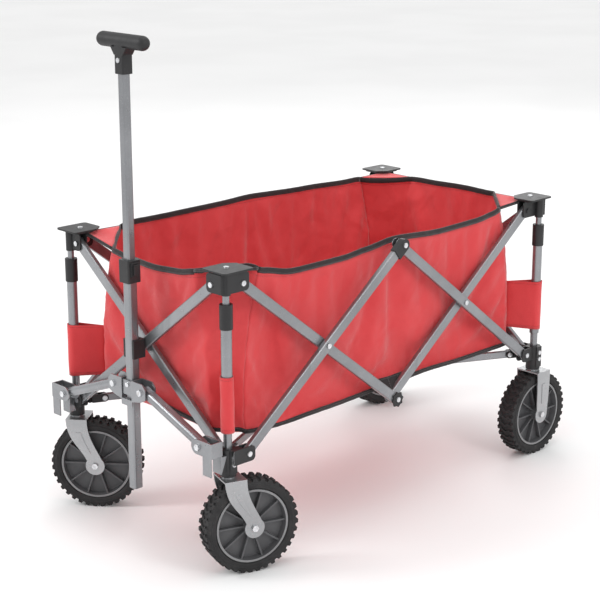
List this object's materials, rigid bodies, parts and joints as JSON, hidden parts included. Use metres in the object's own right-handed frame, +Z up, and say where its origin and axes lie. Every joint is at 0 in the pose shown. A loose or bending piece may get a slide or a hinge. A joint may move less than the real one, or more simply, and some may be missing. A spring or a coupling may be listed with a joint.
{
  "type": "folding utility wagon",
  "caption": "Folding wagon: scissor-bar steel frame, fabric basket, swivelling front wheels, fixed rear wheels and a telescoping pull handle with a T grip.",
  "frame": {"origin": "on the ground, midway between the four legs", "axes": "+X the pulling direction, +Y the wagon's left, +Z up"},
  "size_m": [1.0206, 0.561, 0.9563],
  "materials": {
    "steel": "grey powder coat",
    "fork_steel": "light grey powder coat",
    "black_plastic": "moulded nylon",
    "hub": "moulded plastic",
    "tyre": "treaded rubber",
    "fabric": "coated woven polyester"
  },
  "bodies": {
    "leg_fl": {"leg_tube_fl": "steel", "lower_bracket_fl": "black_plastic"},
    "leg_fr": {"leg_tube_fr": "steel", "lower_bracket_fr": "black_plastic"},
    "leg_rl": {"leg_tube_rl": "steel", "lower_bracket_rl": "black_plastic", "fork_rl": "fork_steel"},
    "leg_rr": {"leg_tube_rr": "steel", "lower_bracket_rr": "black_plastic", "fork_rr": "fork_steel"},
    "left_bar_front_up": {"left_bar_front_up": "steel"},
    "left_bar_front_down": {"left_bar_front_down": "steel"},
    "left_bar_rear_down": {"left_bar_rear_down": "steel"},
    "left_bar_rear_up": {"left_bar_rear_up": "steel"},
    "right_bar_front_up": {"right_bar_front_up": "steel"},
    "right_bar_front_down": {"right_bar_front_down": "steel"},
    "right_bar_rear_down": {"right_bar_rear_down": "steel"},
    "right_bar_rear_up": {"right_bar_rear_up": "steel"},
    "front_bar_inner": {"front_bar_inner": "steel"},
    "front_bar_outer": {"front_bar_outer": "steel"},
    "rear_bar_inner": {"rear_bar_inner": "steel"},
    "rear_bar_outer": {"rear_bar_outer": "steel"},
    "top_fl": {"inner_rod_fl": "steel", "upper_bracket_fl": "black_plastic", "wall_left": "fabric", "wall_front": "fabric"},
    "stay_fl": {"floor_stay_fl": "steel"},
    "wheel_fl": {"tyre_fl": "tyre", "hub_fl": "hub"},
    "top_fr": {"inner_rod_fr": "steel", "upper_bracket_fr": "black_plastic", "wall_right": "fabric"},
    "stay_fr": {"floor_stay_fr": "steel"},
    "wheel_fr": {"tyre_fr": "tyre", "hub_fr": "hub"},
    "top_rl": {"inner_rod_rl": "steel", "upper_bracket_rl": "black_plastic", "wall_rear": "fabric"},
    "stay_rl": {"floor_stay_rl": "steel"},
    "wheel_rl": {"tyre_rl": "tyre", "hub_rl": "hub"},
    "top_rr": {"inner_rod_rr": "steel", "upper_bracket_rr": "black_plastic"},
    "stay_rr": {"floor_stay_rr": "steel"},
    "wheel_rr": {"tyre_rr": "tyre", "hub_rr": "hub"},
    "caster_fl": {"fork_fl": "fork_steel"},
    "caster_fr": {"fork_fr": "fork_steel"},
    "floor_left": {"floor_left": "fabric"},
    "floor_right": {"floor_right": "fabric"},
    "clip": {"pole_clip": "black_plastic"},
    "hitch": {"hitch_bracket": "steel"},
    "guide": {"pole_guide": "steel"},
    "pole": {"pole_tube": "steel", "pole_collar": "black_plastic"},
    "pull": {"pull_tube": "steel", "grip": "black_plastic"},
    "button": {"lock_button": "black_plastic"},
    "arm_left": {"hitch_arm_left": "steel"},
    "arm_right": {"hitch_arm_right": "steel"}
  },
  "joints": [
    {"name": "fold", "type": "hinge", "parent": "leg_fl", "child": "left_bar_front_up", "pos_m": [0.405, 0.237, 0.226], "axis": [0, 1, 0], "range_deg": [0, 38], "deforming": ["wall_left", "wall_right", "wall_front", "wall_rear", "floor_left", "floor_right"]},
    {"name": "left_front_cross", "type": "hinge", "parent": "left_bar_front_up", "child": "left_bar_front_down", "pos_m": [0.2025, 0.2245, 0.3825], "axis": [0, 1, 0], "range_deg": [-77, 1]},
    {"name": "left_top_pivot", "type": "hinge", "parent": "left_bar_front_up", "child": "left_bar_rear_down", "pos_m": [0, 0.2245, 0.539], "axis": [0, 1, 0], "range_deg": [-77, 1]},
    {"name": "left_rear_cross", "type": "hinge", "parent": "left_bar_rear_down", "child": "left_bar_rear_up", "pos_m": [-0.2025, 0.2245, 0.3825], "axis": [0, 1, 0], "range_deg": [-1, 77]},
    {"name": "left_rear_leg_pivot", "type": "hinge", "parent": "left_bar_rear_down", "child": "leg_rl", "pos_m": [-0.405, 0.2245, 0.226], "axis": [0, 1, 0], "range_deg": [-1, 39]},
    {"name": "left_front_top_pivot", "type": "hinge", "parent": "left_bar_front_down", "child": "top_fl", "pos_m": [0.405, 0.2245, 0.539], "axis": [0, 1, 0], "range_deg": [-1, 39]},
    {"name": "left_rear_top_pivot", "type": "hinge", "parent": "left_bar_rear_up", "child": "top_rl", "pos_m": [-0.405, 0.212, 0.539], "axis": [0, 1, 0], "range_deg": [-39, 1]},
    {"name": "front_inner_turn", "type": "hinge", "parent": "leg_fl", "child": "front_bar_inner", "pos_m": [0.43175, 0.2025, 0.226], "axis": [1, 0, 0], "range_deg": [-39, 1]},
    {"name": "front_cross", "type": "hinge", "parent": "front_bar_inner", "child": "front_bar_outer", "pos_m": [0.438, 0, 0.3825], "axis": [1, 0, 0], "range_deg": [-1, 77]},
    {"name": "front_right_leg_pivot", "type": "hinge", "parent": "front_bar_outer", "child": "leg_fr", "pos_m": [0.44425, -0.2025, 0.226], "axis": [1, 0, 0], "range_deg": [-39, 1]},
    {"name": "front_right_top_pivot", "type": "hinge", "parent": "front_bar_inner", "child": "top_fr", "pos_m": [0.43175, -0.2025, 0.539], "axis": [1, 0, 0], "range_deg": [-1, 39]},
    {"name": "clip_pivot", "type": "hinge", "parent": "front_bar_inner", "child": "clip", "pos_m": [0.438, 0, 0.3825], "axis": [1, 0, 0], "range_deg": [-1, 39]},
    {"name": "right_front_up_turn", "type": "hinge", "parent": "leg_fr", "child": "right_bar_front_up", "pos_m": [0.405, -0.237, 0.226], "axis": [0, 1, 0], "range_deg": [-1, 39]},
    {"name": "right_front_cross", "type": "hinge", "parent": "right_bar_front_up", "child": "right_bar_front_down", "pos_m": [0.2025, -0.2245, 0.3825], "axis": [0, 1, 0], "range_deg": [-77, 1]},
    {"name": "right_top_pivot", "type": "hinge", "parent": "right_bar_front_up", "child": "right_bar_rear_down", "pos_m": [0, -0.2245, 0.539], "axis": [0, 1, 0], "range_deg": [-77, 1]},
    {"name": "right_rear_cross", "type": "hinge", "parent": "right_bar_rear_down", "child": "right_bar_rear_up", "pos_m": [-0.2025, -0.2245, 0.3825], "axis": [0, 1, 0], "range_deg": [-1, 77]},
    {"name": "right_rear_leg_pivot", "type": "hinge", "parent": "right_bar_rear_down", "child": "leg_rr", "pos_m": [-0.405, -0.2245, 0.226], "axis": [0, 1, 0], "range_deg": [-1, 39]},
    {"name": "right_rear_top_pivot", "type": "hinge", "parent": "right_bar_rear_up", "child": "top_rr", "pos_m": [-0.405, -0.212, 0.539], "axis": [0, 1, 0], "range_deg": [-39, 1]},
    {"name": "rear_inner_turn", "type": "hinge", "parent": "leg_rl", "child": "rear_bar_inner", "pos_m": [-0.43175, 0.2025, 0.226], "axis": [1, 0, 0], "range_deg": [-39, 1]},
    {"name": "rear_cross", "type": "hinge", "parent": "rear_bar_inner", "child": "rear_bar_outer", "pos_m": [-0.438, 0, 0.3825], "axis": [1, 0, 0], "range_deg": [-1, 77]},
    {"name": "hitch_rise", "type": "slide", "parent": "clip", "child": "hitch", "axis": [0, 0, 1], "range_m": [-0.0005, 0.0225]},
    {"name": "left_arm_turn", "type": "hinge", "parent": "leg_fl", "child": "arm_left", "pos_m": [0.474, 0.2, 0.248], "axis": [1, 0, 0], "range_deg": [-63.18, 1]},
    {"name": "right_arm_turn", "type": "hinge", "parent": "leg_fr", "child": "arm_right", "pos_m": [0.474, -0.2, 0.248], "axis": [1, 0, 0], "range_deg": [-1, 63.18]},
    {"name": "stay_fl_turn", "type": "hinge", "parent": "leg_fl", "child": "stay_fl", "pos_m": [0.396, 0.1905, 0.222], "axis": [-0.4335, 0.9011, 0], "range_deg": [-1, 77]},
    {"name": "stay_fr_turn", "type": "hinge", "parent": "leg_fr", "child": "stay_fr", "pos_m": [0.396, -0.1905, 0.222], "axis": [0.4335, 0.9011, 0], "range_deg": [-1, 77]},
    {"name": "stay_rl_turn", "type": "hinge", "parent": "leg_rl", "child": "stay_rl", "pos_m": [-0.396, 0.1905, 0.222], "axis": [-0.4335, -0.9011, 0], "range_deg": [-1, 77]},
    {"name": "stay_rr_turn", "type": "hinge", "parent": "leg_rr", "child": "stay_rr", "pos_m": [-0.396, -0.1905, 0.222], "axis": [0.4335, -0.9011, 0], "range_deg": [-1, 77]},
    {"name": "floor_left_turn", "type": "hinge", "parent": "top_fl", "child": "floor_left", "pos_m": [0, 0.1965, 0.238], "axis": [1, 0, 0], "range_deg": [-74.07, 1]},
    {"name": "floor_right_turn", "type": "hinge", "parent": "top_fr", "child": "floor_right", "pos_m": [0, -0.1965, 0.238], "axis": [1, 0, 0], "range_deg": [-1, 74.07]},
    {"name": "pole_swing", "type": "hinge", "parent": "hitch", "child": "guide", "pos_m": [0.471, 0, 0.309], "axis": [0, 1, 0], "range_deg": [0, 50]},
    {"name": "pole_slide", "type": "slide", "parent": "guide", "child": "pole", "axis": [0, 0, 1], "range_m": [-0.0005, 0.1905]},
    {"name": "grip_slide", "type": "slide", "parent": "pole", "child": "pull", "axis": [0, 0, 1], "range_m": [-0.31, 0]},
    {"name": "button_press", "type": "slide", "parent": "pole", "child": "button", "axis": [0, -1, 0], "range_m": [0, 0.0025], "stiffness_N_per_m": 400},
    {"name": "caster_fl_swivel", "type": "hinge", "parent": "leg_fl", "child": "caster_fl", "pos_m": [0.438, 0.2245, 0.19], "axis": [0, 0, 1], "continuous": true},
    {"name": "wheel_fl_spin", "type": "hinge", "parent": "caster_fl", "child": "wheel_fl", "pos_m": [0.40112, 0.2372, 0.09], "axis": [0.3256, 0.9455, 0], "continuous": true},
    {"name": "caster_fr_swivel", "type": "hinge", "parent": "leg_fr", "child": "caster_fr", "pos_m": [0.438, -0.2245, 0.19], "axis": [0, 0, 1], "continuous": true},
    {"name": "wheel_fr_spin", "type": "hinge", "parent": "caster_fr", "child": "wheel_fr", "pos_m": [0.41293, -0.19462, 0.09], "axis": [0.766, 0.6428, 0], "continuous": true},
    {"name": "wheel_rl_spin", "type": "hinge", "parent": "leg_rl", "child": "wheel_rl", "pos_m": [-0.438, 0.2245, 0.09], "axis": [0, 1, 0], "continuous": true},
    {"name": "wheel_rr_spin", "type": "hinge", "parent": "leg_rr", "child": "wheel_rr", "pos_m": [-0.438, -0.2245, 0.09], "axis": [0, 1, 0], "continuous": true}
  ],
  "couplings": [
    {"joint": "left_front_cross", "follows": "fold", "ratio": -2},
    {"joint": "left_top_pivot", "follows": "fold", "ratio": -2},
    {"joint": "left_rear_cross", "follows": "fold", "ratio": 2},
    {"joint": "left_rear_leg_pivot", "follows": "fold", "ratio": 1},
    {"joint": "left_front_top_pivot", "follows": "fold", "ratio": 1},
    {"joint": "left_rear_top_pivot", "follows": "fold", "ratio": -1},
    {"joint": "front_inner_turn", "follows": "fold", "ratio": -1},
    {"joint": "front_cross", "follows": "fold", "ratio": 2},
    {"joint": "front_right_leg_pivot", "follows": "fold", "ratio": -1},
    {"joint": "front_right_top_pivot", "follows": "fold", "ratio": 1},
    {"joint": "clip_pivot", "follows": "fold", "ratio": 1},
    {"joint": "right_front_up_turn", "follows": "fold", "ratio": 1},
    {"joint": "right_front_cross", "follows": "fold", "ratio": -2},
    {"joint": "right_top_pivot", "follows": "fold", "ratio": -2},
    {"joint": "right_rear_cross", "follows": "fold", "ratio": 2},
    {"joint": "right_rear_leg_pivot", "follows": "fold", "ratio": 1},
    {"joint": "right_rear_top_pivot", "follows": "fold", "ratio": -1},
    {"joint": "rear_inner_turn", "follows": "fold", "ratio": -1},
    {"joint": "rear_cross", "follows": "fold", "ratio": 2},
    {"joint": "hitch_rise", "follows": "fold", "m_per_rad": 0.033171},
    {"joint": "left_arm_turn", "follows": "fold", "ratio": -1.6363},
    {"joint": "right_arm_turn", "follows": "fold", "ratio": 1.6363},
    {"joint": "stay_fl_turn", "follows": "fold", "ratio": 2},
    {"joint": "stay_fr_turn", "follows": "fold", "ratio": 2},
    {"joint": "stay_rl_turn", "follows": "fold", "ratio": 2},
    {"joint": "stay_rr_turn", "follows": "fold", "ratio": 2},
    {"joint": "floor_left_turn", "follows": "fold", "ratio": -1.9229},
    {"joint": "floor_right_turn", "follows": "fold", "ratio": 1.9229},
    {"joint": "pole_slide", "follows": "pole_swing", "m_per_rad": 0.21772}
  ]
}
